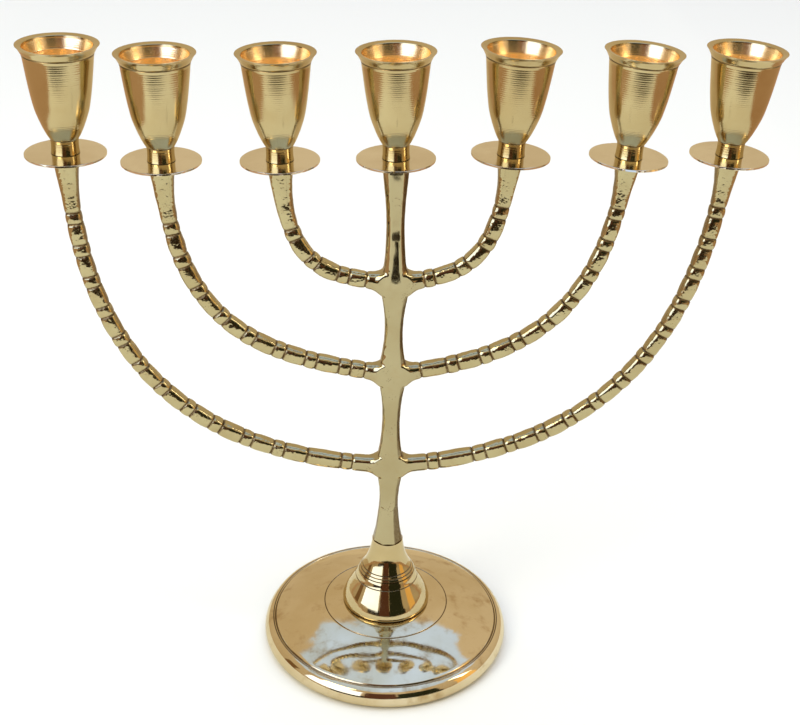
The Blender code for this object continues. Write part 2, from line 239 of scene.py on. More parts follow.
class Wire:
    # one socket that can be added, multiplied and so on; every result is a new Math node
    def __init__(self, tree, socket=None):
        self.tree = tree
        self.socket = socket

    def node(self, kind, settings=None, inputs=None, out=0):
        made = self.tree.nodes.new(kind)
        for key, value in (settings or {}).items():
            if key == "stops":
                ramp = made.color_ramp
                while len(ramp.elements) < len(value):
                    ramp.elements.new(0.5)
                for element, (position, colour) in zip(ramp.elements, value):
                    element.position = position
                    element.color = (*colour, 1)
            else:
                setattr(made, key, value)
        for key, value in (inputs or {}).items():
            if isinstance(value, Wire):
                self.tree.links.new(value.socket, made.inputs[key])
            else:
                made.inputs[key].default_value = value
        return Wire(self.tree, made.outputs[out])

    def math(self, operation, first, second=0.0):
        return self.node("ShaderNodeMath", {"operation": operation}, {0: first, 1: second})

    def __add__(self, other):
        return self.math("ADD", self, other)

    __radd__ = __add__

    def __sub__(self, other):
        return self.math("SUBTRACT", self, other)

    def __rsub__(self, other):
        return self.math("SUBTRACT", other, self)

    def __mul__(self, other):
        return self.math("MULTIPLY", self, other)

    __rmul__ = __mul__

    def __pow__(self, other):
        return self.math("POWER", self, other)

    def sine(self):
        return self.math("SINE", self)

    def between(self, low, high):
        # 0 below low, 1 above high, soft in the middle
        return self.node("ShaderNodeMapRange", {"interpolation_type": "SMOOTHSTEP"},
                         {"Value": self, "From Min": low, "From Max": high})

    def blend(self, under, over):
        # under where this is 0, over where it is 1
        return self.node("ShaderNodeMix", {"data_type": "RGBA"}, {0: self, 6: under, 7: over}, out=2)


def newFinish(name):
    finish = bpy.data.materials.new(name)
    finish.use_nodes = True
    tree = finish.node_tree
    tree.nodes.clear()
    shader = tree.nodes.new("ShaderNodeBsdfPrincipled")
    outlet = tree.nodes.new("ShaderNodeOutputMaterial")
    tree.links.new(shader.outputs[0], outlet.inputs[0])
    return finish, tree, shader


def rgb(r, g, b):
    return (r, g, b, 1)


def brassFinish(name, look):
    # polished brass: tone, tarnish, dirt and painted shade in the hollows, a bore painted paler as light,
    # turning or buffing marks, pits and smears
    finish, tree, shader = newFinish(name)
    start = Wire(tree)
    place = start.node("ShaderNodeTexCoord", out=3)
    if look["turned"]:
        lathe = start.node("ShaderNodeAttribute", {"attribute_name": "lathePlace"}, out=1)
    else:
        lathe = place

    def noise(where, scale, detail=3, rough=0.55):
        return start.node("ShaderNodeTexNoise", inputs={
            "Vector": where, "Scale": scale, "Detail": detail, "Roughness": rough})

    tone = noise(place, look["toneScale"], 4)
    smear = noise(place, look["smearScale"], 5, 0.62)
    colour = tone.between(0.32, 0.68).blend(rgb(*look["gold"]), rgb(*look["paleGold"]))
    colour = (smear.between(0.5, 0.8) * look["tarnish"]).blend(colour, rgb(*look["brown"]))

    # dirt that polishing never reaches, and painted shade: the hollows are darkened by ambient occlusion
    shade = start.node("ShaderNodeAmbientOcclusion", {"samples": 6},
                       {"Distance": look["dirtAndShadeReach"]}, out=1)
    dirtAndShade = (1 - shade).between(look["dirtAndShadeFrom"], look["dirtAndShadeTo"]) * look["dirtAndShade"]
    # darker near the cuts, painted in when they were cut, and on the sides painted as shaded: the wax left
    # in the grooves, and painted shade
    groove = start.node("ShaderNodeAttribute", {"attribute_name": "grime"}, out=2)
    patchy = noise(place, look["patchScale"]).between(0.25, 0.62) * 0.4 + 0.6
    dirtAndShade = start.math("MAXIMUM", dirtAndShade, groove.between(0.12, 0.75) * patchy)
    # a bore is painted paler, as painted light for the light bounced inside the cup, and left duller as the
    # tool cut it
    bore = start.node("ShaderNodeAttribute", {"attribute_name": "bore"}, out=2)
    colour = bore.blend(colour, rgb(*look["paintedBoreLight"]))
    # painted shade and dirt darken the colour here
    colour = dirtAndShade.blend(colour, rgb(*look["dirtAndShadeColour"]))

    # pits of the casting or the odd dent of handling
    pitCells = start.node("ShaderNodeTexVoronoi", {"distance": "EUCLIDEAN"},
                          {"Vector": place, "Scale": look["pitScale"]})
    pitArea = noise(place, look["pitAreaScale"], 2).between(look["pitFrom"], look["pitFrom"] + 0.08)
    pits = (1 - pitCells.between(0.08, 0.24)) * pitArea
    colour = (pits * look["pitDark"]).blend(colour, rgb(*look["dirtAndShadeColour"]))
    tree.links.new(colour.socket, shader.inputs["Base Color"])

    # roughness: fingerprints and wiped streaks
    wiped = start.node("ShaderNodeMapping", inputs={"Vector": place, "Scale": look["wipe"]})
    streak = noise(wiped, look["streakScale"], 4, 0.6)
    rough = look["rough"] + smear.between(0.35, 0.75) * look["smearRough"]
    rough = rough + streak.between(0.45, 0.75) * look["streakRough"] + dirtAndShade * look["dirtAndShadeRough"]
    rough = rough + pits * look["pitRough"] + bore * look["boreRough"]
    tree.links.new(rough.socket, shader.inputs["Roughness"])

    # height: waves of the hand polish, fine streaks, turning rings, pits
    height = noise(place, look["waveScale"], 1) * look["wave"]
    height = height + streak * look["streakDepth"] - pits * look["pitDepth"]
    if look["turned"]:
        split = start.node("ShaderNodeSeparateXYZ", inputs={0: lathe})
        sides = [Wire(tree, split.socket.node.outputs[i]) for i in range(3)]
        radius = (sides[0] * sides[0] + sides[1] * sides[1]) ** 0.5
        rise = radius * look["ringOut"] + sides[2] * look["ringUp"]
        wobble = noise(place, look["wobbleScale"], 2) * look["wobble"]
        ring = ((rise + wobble) * (math.tau / look["ringPitch"])).sine()
        lane = start.node("ShaderNodeCombineXYZ", inputs={2: rise})
        grit = noise(lane, look["laneScale"], 5, 0.7)
        height = height + ring * look["ringDepth"] + grit * look["laneDepth"]
    bump = start.node("ShaderNodeBump", inputs={
        "Height": height, "Distance": 1.0, "Strength": 1.0})
    tree.links.new(bump.socket, shader.inputs["Normal"])
    shader.inputs["Metallic"].default_value = 1.0
    shader.inputs["Specular Tint"].default_value = rgb(1.0, 0.97, 0.86)
    return finish


brassLook = {
    "turned": True, "gold": (0.46, 0.35, 0.16), "paleGold": (0.53, 0.43, 0.22),
    "brown": (0.34, 0.20, 0.07), "paintedBoreLight": (0.92, 0.69, 0.38), "boreRough": 0.12,
    "toneScale": 28, "smearScale": 70, "tarnish": 0.10,
    "dirtAndShade": 0.85, "dirtAndShadeReach": 1.2 * mm, "dirtAndShadeFrom": 0.35, "dirtAndShadeTo": 0.8, "dirtAndShadeRough": 0.25,
    "dirtAndShadeColour": (0.10, 0.055, 0.02), "patchScale": 1500,
    "pitScale": 900, "pitAreaScale": 60, "pitFrom": 0.66, "pitDepth": 0.02 * mm, "pitRough": 0.3,
    "pitDark": 0.75,
    "wipe": (1, 1, 0.12), "streakScale": 900, "streakDepth": 0.0012 * mm,
    "rough": 0.09, "smearRough": 0.05, "streakRough": 0.05, "wave": 0.10 * mm, "waveScale": 60,
    # rings follow the distance from the axis (ringOut), the height (ringUp) or both
    "ringOut": 1.0, "ringUp": 1.0, "ringPitch": 1.05 * mm, "ringDepth": 0.004 * mm,
    "laneScale": 1300, "laneDepth": 0.030 * mm, "wobble": 0.4 * mm, "wobbleScale": 60,
}
turnedBrass = brassFinish("turnedBrass", brassLook)
platePolish = brassFinish("platePolish", {
    **brassLook, "gold": (0.60, 0.48, 0.27), "paleGold": (0.70, 0.59, 0.38), "brown": (0.42, 0.28, 0.12),
    "rough": 0.045, "smearRough": 0.06, "streakRough": 0.04, "wave": 0.42 * mm, "waveScale": 44,
    "ringUp": 0.0, "ringDepth": 0.0005 * mm, "laneDepth": 0.0012 * mm, "tarnish": 1.0, "smearScale": 95,
    "pitFrom": 0.74, "wipe": (1, 0.2, 1), "streakScale": 500,
})
bellPolish = brassFinish("bellPolish", {
    **brassLook, "gold": (0.50, 0.39, 0.19), "paleGold": (0.59, 0.48, 0.27), "rough": 0.05,
    "wave": 0.22 * mm, "ringOut": 0.0, "ringDepth": 0.0006 * mm, "laneDepth": 0.0012 * mm,
})
panPolish = brassFinish("panPolish", {
    **brassLook, "gold": (0.68, 0.59, 0.41), "paleGold": (0.77, 0.69, 0.51), "rough": 0.12,
    "ringUp": 0.0, "ringPitch": 0.6 * mm, "ringDepth": 0.001 * mm, "laneDepth": 0.004 * mm,
    "wave": 0.12 * mm, "waveScale": 45,
})
castLook = {
    **brassLook, "turned": False, "gold": (0.44, 0.36, 0.18), "paleGold": (0.50, 0.43, 0.23),
    "smearScale": 160, "tarnish": 0.22, "dirtAndShade": 0.95, "dirtAndShadeReach": 1.6 * mm,
    "dirtAndShadeFrom": 0.28, "dirtAndShadeTo": 0.62,
    "pitScale": 1100, "pitAreaScale": 75, "pitFrom": 0.6, "pitDepth": 0.12 * mm, "wave": 0.17 * mm,
    "waveScale": 520, "wipe": (1, 1, 0.25), "streakScale": 1200, "streakDepth": 0.004 * mm,
}
castBrass = brassFinish("castBrass", castLook)
# the stem's copy of the cast brass is painted darker than the arms of the same casting: painted shade
shadedStemBrass = brassFinish("shadedStemBrass", {
    **castLook, "gold": (0.39, 0.32, 0.165), "paleGold": (0.45, 0.385, 0.215),
    "wave": 0.06 * mm, "waveScale": 50, "pitFrom": 0.57,
    "rough": 0.04, "smearRough": 0.03, "streakRough": 0.02,
})


steelLook = {
    "grey": (0.46, 0.46, 0.47), "warmGrey": (0.63, 0.61, 0.55), "cloudScale": 420, "rough": 0.28,
    "cloudRough": 0.2, "cloudDepth": 0.02 * mm,
}


def steelFinish(look):
    # zinc plating: a cloudy grey with a warm cast
    finish, tree, shader = newFinish("platedSteel")
    start = Wire(tree)
    place = start.node("ShaderNodeTexCoord", out=3)
    cloud = start.node("ShaderNodeTexNoise", inputs={
        "Vector": place, "Scale": look["cloudScale"], "Detail": 4})
    colour = cloud.between(0.35, 0.7).blend(rgb(*look["grey"]), rgb(*look["warmGrey"]))
    tree.links.new(colour.socket, shader.inputs["Base Color"])
    rough = look["rough"] + cloud.between(0.3, 0.8) * look["cloudRough"]
    tree.links.new(rough.socket, shader.inputs["Roughness"])
    bump = start.node("ShaderNodeBump", inputs={"Height": cloud * look["cloudDepth"], "Distance": 1.0})
    tree.links.new(bump.socket, shader.inputs["Normal"])
    shader.inputs["Metallic"].default_value = 1.0
    return finish


platedSteel = steelFinish(steelLook)
print("finishes mixed")


camera = {"place": (-35.1, -570.4, 469.7), "yaw": 4.19, "down": 28.45, "roll": 2.02, "focal": 62.35,
          "shift": (-0.00875, -0.00275)}


def setCamera(facts):
    yaw, down, roll = (math.radians(facts[key]) for key in ("yaw", "down", "roll"))
    ahead = Vector((math.sin(yaw) * math.cos(down), math.cos(yaw) * math.cos(down), -math.sin(down)))
    right = Vector((math.cos(yaw), -math.sin(yaw), 0))
    up = right.cross(ahead)
    tiltedRight = right * math.cos(roll) + up * math.sin(roll)
    tiltedUp = up * math.cos(roll) - right * math.sin(roll)
    turn = Matrix((tiltedRight, tiltedUp, -ahead)).transposed()
    bpy.ops.object.camera_add(location=Vector(facts["place"]) * mm, rotation=turn.to_euler())
    seen = bpy.context.object
    seen.name = "camera"
    seen.data.lens = facts["focal"]
    seen.data.sensor_width = 36
    seen.data.shift_x, seen.data.shift_y = facts["shift"]
    seen.data.clip_start = 0.01
    bpy.context.scene.camera = seen


studio = {
    "floorRadius": 2.4, "floorColour": (0.82, 0.83, 0.755), "backdrop": (1.0, 1.0, 1.0),
    # the room that the brass mirrors: height of the direction from 0 straight down to 1 straight up
    "room": ((0.0, (0.30, 0.20, 0.11)), (0.48, (0.62, 0.48, 0.32)), (0.53, (0.80, 0.66, 0.48)),
             (0.888, (0.90, 0.75, 0.55)), (0.898, (0.86, 1.13, 1.78)), (1.0, (0.92, 1.22, 1.95))),
    "roomStrength": 0.88, "roomTilt": 0.02, "roofScale": 5.0, "roofWave": 0.07,
    "panels": (
        # name, place, size, power, tint, mirrored by the brass or not
        ("keyPanel", (-1.25, -1.05, 1.25), (0.8, 1.1), 17, (1.0, 0.95, 0.84), True),
        ("fillPanel", (1.7, -0.4, 1.3), (0.3, 1.1), 6, (1.0, 0.93, 0.80), True),
        ("topPanel", (0.0, 0.2, 2.2), (2.4, 2.4), 20, (1.0, 0.99, 0.96), False),
    ),
    "cards": (
        # name, middle, width, height, lying down or not, colour, brightness; only the brass sees them
        ("frontGround", (0.0, -1.37, 0.002), 3.4, 1.70, True, (0.07, 0.045, 0.025), 0.6),
        ("farHedge", (0.0, -2.20, 0.18), 5.0, 0.36, False, (0.05, 0.035, 0.02), 0.6),
        ("rightGround", (1.32, 0.1, 0.003), 1.80, 3.0, True, (0.66, 0.42, 0.27), 0.95),
        ("leftGround", (-1.32, 0.1, 0.003), 1.80, 3.0, True, (0.70, 0.46, 0.30), 0.95),
        ("backGround", (0.0, 1.22, 0.002), 0.9, 2.24, True, (0.85, 0.70, 0.50), 0.9),
        ("redFigure", (-0.17, -1.49, 0.55), 0.70, 1.10, False, (0.15, 0.065, 0.04), 0.9),
        ("darkFigure", (0.66, -1.34, 0.50), 1.0, 1.0, False, (0.035, 0.04, 0.022), 0.9),
        ("goldFigure", (1.42, -0.49, 0.40), 0.5, 0.8, False, (1.0, 0.60, 0.20), 1.3),
        ("duskFigure", (-1.5, 0.0, 0.35), 0.36, 0.70, False, (0.30, 0.17, 0.08), 0.9),
        ("whiteWall", (-1.05, -0.95, 0.64), 1.3, 0.96, False, (0.85, 1.0, 1.45), 2.9),
        ("thumb", (0.008, -0.12, 0.16), 0.0064, 0.0245, False, (0.05, 0.035, 0.015), 0.5),
    ),
}


def litCloth(name, colour, strength):
    # an even glow, so that a card looks the same from wherever the brass mirrors it
    finish, _, shader = newFinish(name)
    shader.inputs["Base Color"].default_value = rgb(0, 0, 0)
    shader.inputs["Specular IOR Level"].default_value = 0
    shader.inputs["Emission Color"].default_value = rgb(*colour)
    shader.inputs["Emission Strength"].default_value = strength
    return finish


def setStudio(facts):
    letGo()
    bpy.ops.mesh.primitive_circle_add(vertices=96, radius=facts["floorRadius"], fill_type="NGON",
                                      location=(0, 0, -0.0002))
    floor = bpy.context.object
    floor.name = "floor"
    finish, _, shader = newFinish("palePaper")
    shader.inputs["Base Color"].default_value = rgb(*facts["floorColour"])
    shader.inputs["Roughness"].default_value = 0.9
    shader.inputs["Specular IOR Level"].default_value = 0.1
    floor.data.materials.append(finish)
    floor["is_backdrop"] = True

    world = bpy.data.worlds.new("studioRoom")
    bpy.context.scene.world = world
    world.use_nodes = True
    tree = world.node_tree
    tree.nodes.clear()
    start = Wire(tree)
    direction = start.node("ShaderNodeTexCoord", out=0)
    split = start.node("ShaderNodeSeparateXYZ", inputs={0: direction}, out=2)
    far = Wire(tree, split.socket.node.outputs[1])
    roof = start.node("ShaderNodeTexNoise", inputs={
        "Vector": direction, "Scale": facts["roofScale"], "Detail": 5, "Roughness": 0.6})
    level = split * 0.5 + 0.5 + far * facts["roomTilt"] + (roof - 0.5) * facts["roofWave"] * 2
    ramp = start.node("ShaderNodeValToRGB", {"stops": facts["room"]}, {0: level})
    room = start.node("ShaderNodeBackground", inputs={"Color": ramp, "Strength": facts["roomStrength"]})
    paper = start.node("ShaderNodeBackground", inputs={"Color": rgb(*facts["backdrop"])})
    seen = start.node("ShaderNodeLightPath")
    light = start.node("ShaderNodeMixShader", inputs={0: seen, 1: room, 2: paper})
    outlet = tree.nodes.new("ShaderNodeOutputWorld")
    tree.links.new(light.socket, outlet.inputs[0])

    for name, place, size, power, tint, mirrored in facts["panels"]:
        letGo()
        bpy.ops.object.light_add(type="AREA", location=place)
        panel = bpy.context.object
        panel.name = name
        panel.data.shape = "RECTANGLE"
        panel.data.size, panel.data.size_y = size
        panel.data.energy = power
        panel.data.color = tint
        panel.visible_glossy = mirrored
        aim = Vector((0, 0, 0.15)) - Vector(place)
        panel.rotation_euler = aim.to_track_quat("-Z", "Y").to_euler()
    for name, place, width, height, lying, colour, strength in facts["cards"]:
        letGo()
        bpy.ops.mesh.primitive_plane_add(size=1, location=place)
        card = bpy.context.object
        card.name = name
        card.scale = (width, height, 1)
        if not lying:
            aim = Vector((0, 0, place[2])) - Vector(place)
            card.rotation_euler = aim.to_track_quat("Z", "Y").to_euler()
        card.visible_camera = card.visible_diffuse = False
        card.visible_shadow = card.visible_transmission = False
        card.data.materials.append(litCloth(name + "Cloth", colour, strength))
        card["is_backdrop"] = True
    bpy.context.scene.view_settings.view_transform = "Standard"


setCamera(camera)
setStudio(studio)
print("camera, floor and lights set")


basePlate = {
    "sides": 160, "hole": 3.3, "seat": (22.8, 21.0), "edge": (56.3, 11.4), "rise": 1.3,
    "ring": 31.4, "ringDepth": 0.3, "ringWidth": 0.26, "foot": 59.0,
    "groove": ((56.6, 10.75), (56.9, 10.6), (57.2, 10.95), (57.5, 10.95), (57.75, 10.6)),
    "rim": ((58.0, 10.95), (58.8, 10.6), (59.8, 9.95), (60.8, 8.85), (61.55, 7.45), (62.05, 5.95),
            (62.2, 4.4), (61.9, 3.0), (61.2, 1.7), (60.3, 0.75), (59.5, 0.2), (59.0, 0.0)),
    "grime": (31.4, 56.75, 57.75), "grimeAndShadeReach": 0.45,
    "rimWall": 2.8, "wall": 2.6, "bossRadius": 10, "bossHeight": 15, "softEdge": 0.18,
}


def bowed(start, end, bulge, count):
    across = Vector((end[0] - start[0], end[1] - start[1]))
    out = Vector((-across.y, across.x)).normalized()
    shares = [i / count for i in range(1, count + 1)]
    return [tuple(Vector(start) + across * t + out * (4 * bulge * t * (1 - t))) for t in shares]


def makeBasePlate(facts):
    seat, edge = facts["seat"], facts["edge"]
    dome = scored([seat] + bowed(seat, edge, facts["rise"], 26), [facts["ring"]],
                  facts["ringDepth"], facts["ringWidth"], key=0)
    outline = [(facts["hole"], seat[1])] + dome + list(facts["groove"]) + eased(facts["rim"], 3)
    outline += [(facts["foot"] - facts["rimWall"], 0)]
    underEdge = (edge[0] - facts["wall"], edge[1] - facts["wall"])
    underBoss = (facts["bossRadius"], seat[1] - facts["wall"])
    outline += [underEdge] + bowed(underEdge, underBoss, -facts["rise"], 16)
    outline += [(facts["bossRadius"], facts["bossHeight"]), (facts["hole"], facts["bossHeight"])]
    plate = drawAndSpin("basePlate", outline, facts["sides"], closed=True)
    softenEdges(plate, facts["softEdge"])
    keepLathePlace(plate)
    # darker near the ring and the groove: dirt and painted shade
    paintGrimeAndShade(plate, facts["grime"], facts["grimeAndShadeReach"], lambda point: math.hypot(point.x, point.y))
    smoothOff(plate)
    return handOver(plate, "polished_brass", platePolish, "base_plate")


makeBasePlate(basePlate)
print("base plate turned")


pedestal = {
    "sides": 128, "hole": 3.3, "bottom": 21.1, "top": 58.4, "wall": 3.0,
    "flare": ((22.0, 23.0), (21.3, 25.3), (19.9, 28.6), (18.1, 31.8), (16.4, 34.9), (15.3, 37.2),
              (14.5, 39.2), (13.4, 41.2), (12.2, 43.0), (10.8, 45.6), (9.5, 48.9), (8.5, 52.5),
              (7.9, 55.8), (7.6, 58.4)),
    "crown": 42.4, "inside": ((9.2, 42.4), (15.4, 30.0)), "grimeAndShadeReach": 0.42,
    "lines": (36.4, 40.1, 41.5, 42.9), "lineDepth": 0.3, "lineWidth": 0.28, "softEdge": 0.12,
}


def makePedestal(facts):
    foot = facts["flare"][0]
    bell = scored(eased(facts["flare"], 6), facts["lines"], facts["lineDepth"], facts["lineWidth"])
    low = facts["bottom"]
    roundFoot = eased(((foot[0] - 0.8, low), (foot[0] - 0.1, low + 0.8), foot), 4)[:-1]
    inside = [(facts["hole"], facts["top"]), (facts["hole"], facts["crown"]), *facts["inside"],
              (foot[0] - facts["wall"] - 1.0, low)]
    outline = roundFoot + bell + inside
    bellPiece = drawAndSpin("bellPedestal", outline, facts["sides"], closed=True)
    softenEdges(bellPiece, facts["softEdge"])
    keepLathePlace(bellPiece)
    # darker near the foot and the incised lines: dirt and painted shade
    paintGrimeAndShade(bellPiece, (low, *facts["lines"]), facts["grimeAndShadeReach"], lambda point: point.z)
    smoothOff(bellPiece)
    return handOver(bellPiece, "polished_brass", bellPolish, "pedestal")


makePedestal(pedestal)
print("pedestal turned")


seats = [mount for mount in frame["record"]["mounts"] if mount["name"].startswith("candle_seat_")]
cupFloor = 13.0


def seatMatrix(mount):
    # the frame of one light: origin on top of its pan, Z up the cup
    axis = Vector(mount["axis"]).normalized()
    origin = Vector(mount["pos_m"]) - axis * cupFloor * mm
    turn = Vector((0, 0, 1)).rotation_difference(axis).to_matrix().to_4x4()
    return Matrix.Translation(origin) @ turn


seatMatrices = [seatMatrix(mount) for mount in sorted(seats, key=lambda m: m["name"])]


stem = {
    "groundDepth": 4.25, "chamfer": 0.42, "voxel": 0.42, "smoothing": 9, "cloud": 9.0, "hammer": 0.08,
    "rows": (
        # height, half width, half depth
        (79.0, 4.45, 4.5), (84.0, 4.5, 4.5), (90.0, 4.9, 4.5), (97.0, 6.0, 4.5), (102.0, 6.9, 4.5),
        (107.5, 5.9, 4.5), (114.0, 4.9, 4.5), (120.0, 4.35, 4.5), (127.0, 4.1, 4.5), (134.0, 4.3, 4.5),
        (141.0, 4.95, 4.5), (147.6, 6.0, 4.5), (152.6, 6.9, 4.5), (158.1, 5.9, 4.5), (164.5, 4.9, 4.5),
        (170.0, 4.3, 4.5), (176.0, 4.1, 4.5), (182.0, 4.3, 4.5), (188.0, 4.95, 4.5), (194.8, 6.1, 4.5),
        (199.8, 7.1, 4.5), (204.0, 6.3, 4.5), (208.5, 5.0, 4.5), (214.0, 4.5, 4.5), (221.0, 4.15, 4.5),
        (228.0, 4.0, 4.5), (234.0, 4.1, 4.6), (241.0, 4.5, 4.85), (250.0, 5.35, 5.3),
    ),
    "leanFrom": 199.8, "end": (6.1, 5.7), "footSides": 8,
    "flanks": ((Vector((-1, 0, 0)), 0.65, 1.0, 0.6), (Vector((1, 0, 0)), 0.35, 0.85, 0.85)),
    "footRows": ((0.0, 92.0), (4.9, 92.0), (4.7, 84.0), (5.1, 77.0), (5.7, 71.0), (6.6, 64.0),
                 (7.4, 60.4), (7.8, 58.9), (7.8, 58.45), (0.0, 58.45)),
}
armPairs = {
    "outer": {"rootZ": 102.0, "slope": 3.0, "rootHandle": 74.0, "endHandle": 119.0,
              "firstCuts": (17.5, 23.0, 40.0)},
    "middle": {"rootZ": 152.6, "slope": 9.0, "rootHandle": 50.0, "endHandle": 87.0,
               "firstCuts": (12.5,)},
    "inner": {"rootZ": 199.8, "slope": 9.0, "rootHandle": 27.0, "endHandle": 55.0,
              "firstCuts": (12.5,)},
}
arm = {
    "sides": 32, "radius": 3.85, "flatten": 0.9, "square": 3.4, "groove": 0.55, "lip": 0.42,
    "shoulder": 0.2625, "cushionPower": 2.4, "grimeAndShadeReach": 0.95,
    "barrel": 10.6, "bead": 5.4, "posts": (26.0, 27.5, 31.0, 0.0, 23.0, 23.0, 23.0),
    # (way it faces, where the painted shade starts, where it is full, how much)
    "flanks": ((Vector((0, 0, -1)), 0.78, 1.0, 0.75), (Vector((-1, 0, 0)), 0.8, 1.0, 0.6),
               (Vector((1, 0, 0)), 0.75, 1.0, 0.7)),
    "plug": 0.8, "collar": 1.5, "postEnd": 5.9, "postSteps": 12, "postPower": 1.8,
    "rootX": 1.0, "panGap": 1.3, "uneven": 0.06,
    "cloud": 5.0, "hammer": 0.35, "thinning": 0.07,
    "root": ((0.0, 0.0), (6.3, 0.0), (6.2, 4.5), (5.2, 6.2), (4.5, 7.6), (4.05, 9.0), (3.93, 10.2)),
}


def makeStemBlank(facts):
    # a bevelled square plate, pushed up row by row
    lift = [row[0] for row in facts["rows"]]
    half = [row[1] for row in facts["rows"]] + [facts["end"][0]]
    deep = [row[2] for row in facts["rows"]] + [facts["end"][1]]
    top = seatMatrices[3] @ Vector((0, 0, -arm["panGap"] * mm))
    lift.append(top.z / mm)
    lean = seatMatrices[3].translation.x / mm

    def centre(z):
        share = max(0, (z - facts["leanFrom"]) / (top.z / mm - facts["leanFrom"]))
        return lean * share

    letGo()
    bpy.ops.mesh.primitive_plane_add(size=2 * mm, location=(0, 0, lift[0] * mm))
    blank = bpy.context.object
    bpy.ops.object.mode_set(mode="EDIT")
    bpy.ops.mesh.select_all(action="SELECT")
    bpy.ops.mesh.bevel(offset=facts["chamfer"] * mm, affect="VERTICES")
    bpy.ops.transform.resize(value=(half[0], deep[0], 1))
    for i in range(1, len(lift)):
        step = ((centre(lift[i]) - centre(lift[i - 1])) * mm, 0, (lift[i] - lift[i - 1]) * mm)
        bpy.ops.mesh.extrude_region_move(TRANSFORM_OT_translate={"value": step})
        middle = (centre(lift[i]) * mm, 0, lift[i] * mm)
        growth = (half[i] / half[i - 1], deep[i] / deep[i - 1], 1)
        bpy.ops.transform.resize(value=growth, center_override=middle)
    bpy.ops.object.mode_set(mode="OBJECT")
    return cleanUp(blank)


def makeFootBlank(facts):
    # the eight-sided foot, turned so that one flat faces the front
    foot = drawAndSpin("footBlank", facts["footRows"], facts["footSides"])
    foot.rotation_euler = (0, 0, math.pi / facts["footSides"])
    pick(foot)
    bpy.ops.object.transform_apply(rotation=True)
    return foot


def layPath(pair, matrix):
    # the line of one arm as a two-point Bezier curve
    facts = armPairs[pair]
    end = matrix @ Vector((0, 0, -arm["panGap"] * mm))
    up = (matrix.to_3x3() @ Vector((0, 0, 1))).normalized()
    side = math.copysign(1, end.x)
    slope = math.radians(facts["slope"])
    root = Vector((side * arm["rootX"] * mm, 0, facts["rootZ"] * mm))
    out = Vector((side * math.cos(slope), 0, math.sin(slope)))
    letGo()
    bpy.ops.curve.primitive_bezier_curve_add()
    path = bpy.context.object
    path.data.dimensions = "3D"
    path.data.resolution_u = 96
    path.data.twist_mode = "MINIMUM"
    first, last = path.data.splines[0].bezier_points
    for point in (first, last):
        point.handle_left_type = point.handle_right_type = "FREE"
    first.co = root
    first.handle_right = root + out * facts["rootHandle"] * mm
    first.handle_left = root - out * 10 * mm
    last.co = end
    last.handle_left = end - up * facts["endHandle"] * mm
    last.handle_right = end + up * 10 * mm
    return path


def bendAlong(bar, path):
    pick(bar)
    bend = bar.modifiers.new("Bend", "CURVE")
    bend.object = path
    bend.deform_axis = "POS_X"
    bpy.ops.object.modifier_apply(modifier="Bend")
    return bar


def stationsOf(pair, length, post):
    # where the grooves are cut, from the root outwards
    first = armPairs[pair]["firstCuts"]
    cuts = [length - post]
    steps = (arm["bead"], arm["barrel"])
    turn = 0
    while cuts[-1] - steps[turn % 2] > first[-1] + 0.5 * arm["bead"]:
        cuts.append(cuts[-1] - steps[turn % 2] * (1 + dice.uniform(-1, 1) * arm["uneven"]))
        turn += 1
    return sorted([*first, *cuts])


def segmentOutline(start, end, radius):
    # one barrel or bead between two grooves: a fine V cut at each end and a cushioned back
    steps = 8 if end - start < 1.5 * arm["bead"] else 12
    first = start + arm["lip"]
    back = end - start - 2 * arm["lip"]
    outline = [(radius - arm["groove"], start), (radius - arm["shoulder"], first)]
    for i in range(1, steps):
        fall = abs(2 * i / steps - 1) ** arm["cushionPower"]
        outline.append((radius - arm["shoulder"] * fall, first + back * i / steps))
    return outline + [(radius - arm["shoulder"], end - arm["lip"])]


def barOutline(cuts, length):
    # from a hidden plug in the root, over barrels and beads, to the flaring post
    plug = cuts[0] - arm["plug"]
    outline = [(0.0, plug), (arm["radius"] - arm["groove"] - 0.1, plug)]
    for start, end in zip(cuts, cuts[1:]):
        thin = 1 - arm["thinning"] * (start / length)
        radius = arm["radius"] * thin * (1 + dice.uniform(-1, 1) * 0.5 * arm["uneven"])
        outline += segmentOutline(start, end, radius)
    base = arm["radius"] * (1 - arm["thinning"])
    outline += [(base - arm["groove"], cuts[-1]), (base - 0.22, cuts[-1] + arm["lip"])]
    post = cuts[-1] + arm["collar"]
    outline.append((base - 0.05, post))
    for i in range(1, arm["postSteps"] + 1):
        share = i / arm["postSteps"]
        flare = (arm["postEnd"] - base) * share ** arm["postPower"]
        outline.append((base + flare, post + (length - post) * share))
    return outline + [(0.0, length)]


def rootOutline(firstCut):
    # the plain root that swells into the stem
    radius = arm["radius"]
    return [*arm["root"], (radius, firstCut - 1.4), (radius - 0.25, firstCut - 0.5),
            (radius - arm["groove"], firstCut), (0.0, firstCut + 0.5)]


def roughen(thing, name, size, strength):
    # the slight unevenness of sand casting and hand filing
    cloud = bpy.data.textures.new(name, "CLOUDS")
    cloud.noise_scale = size * mm
    cloud.noise_depth = 1
    return pressOn(thing, "DISPLACE", texture=cloud, texture_coords="LOCAL", strength=strength * mm,
                   mid_level=0.5)


def squareUp(bar):
    # file the round bar towards a soft-cornered square
    power = arm["square"]
    for vertex in bar.data.vertices:
        radius = math.hypot(vertex.co.y, vertex.co.z)
        if radius > 0.01 * mm:
            y, z = vertex.co.y / radius, vertex.co.z / radius
            reach = radius / (abs(y) ** power + abs(z) ** power) ** (1 / power)
            vertex.co.y, vertex.co.z = y * reach, z * reach
    return bar


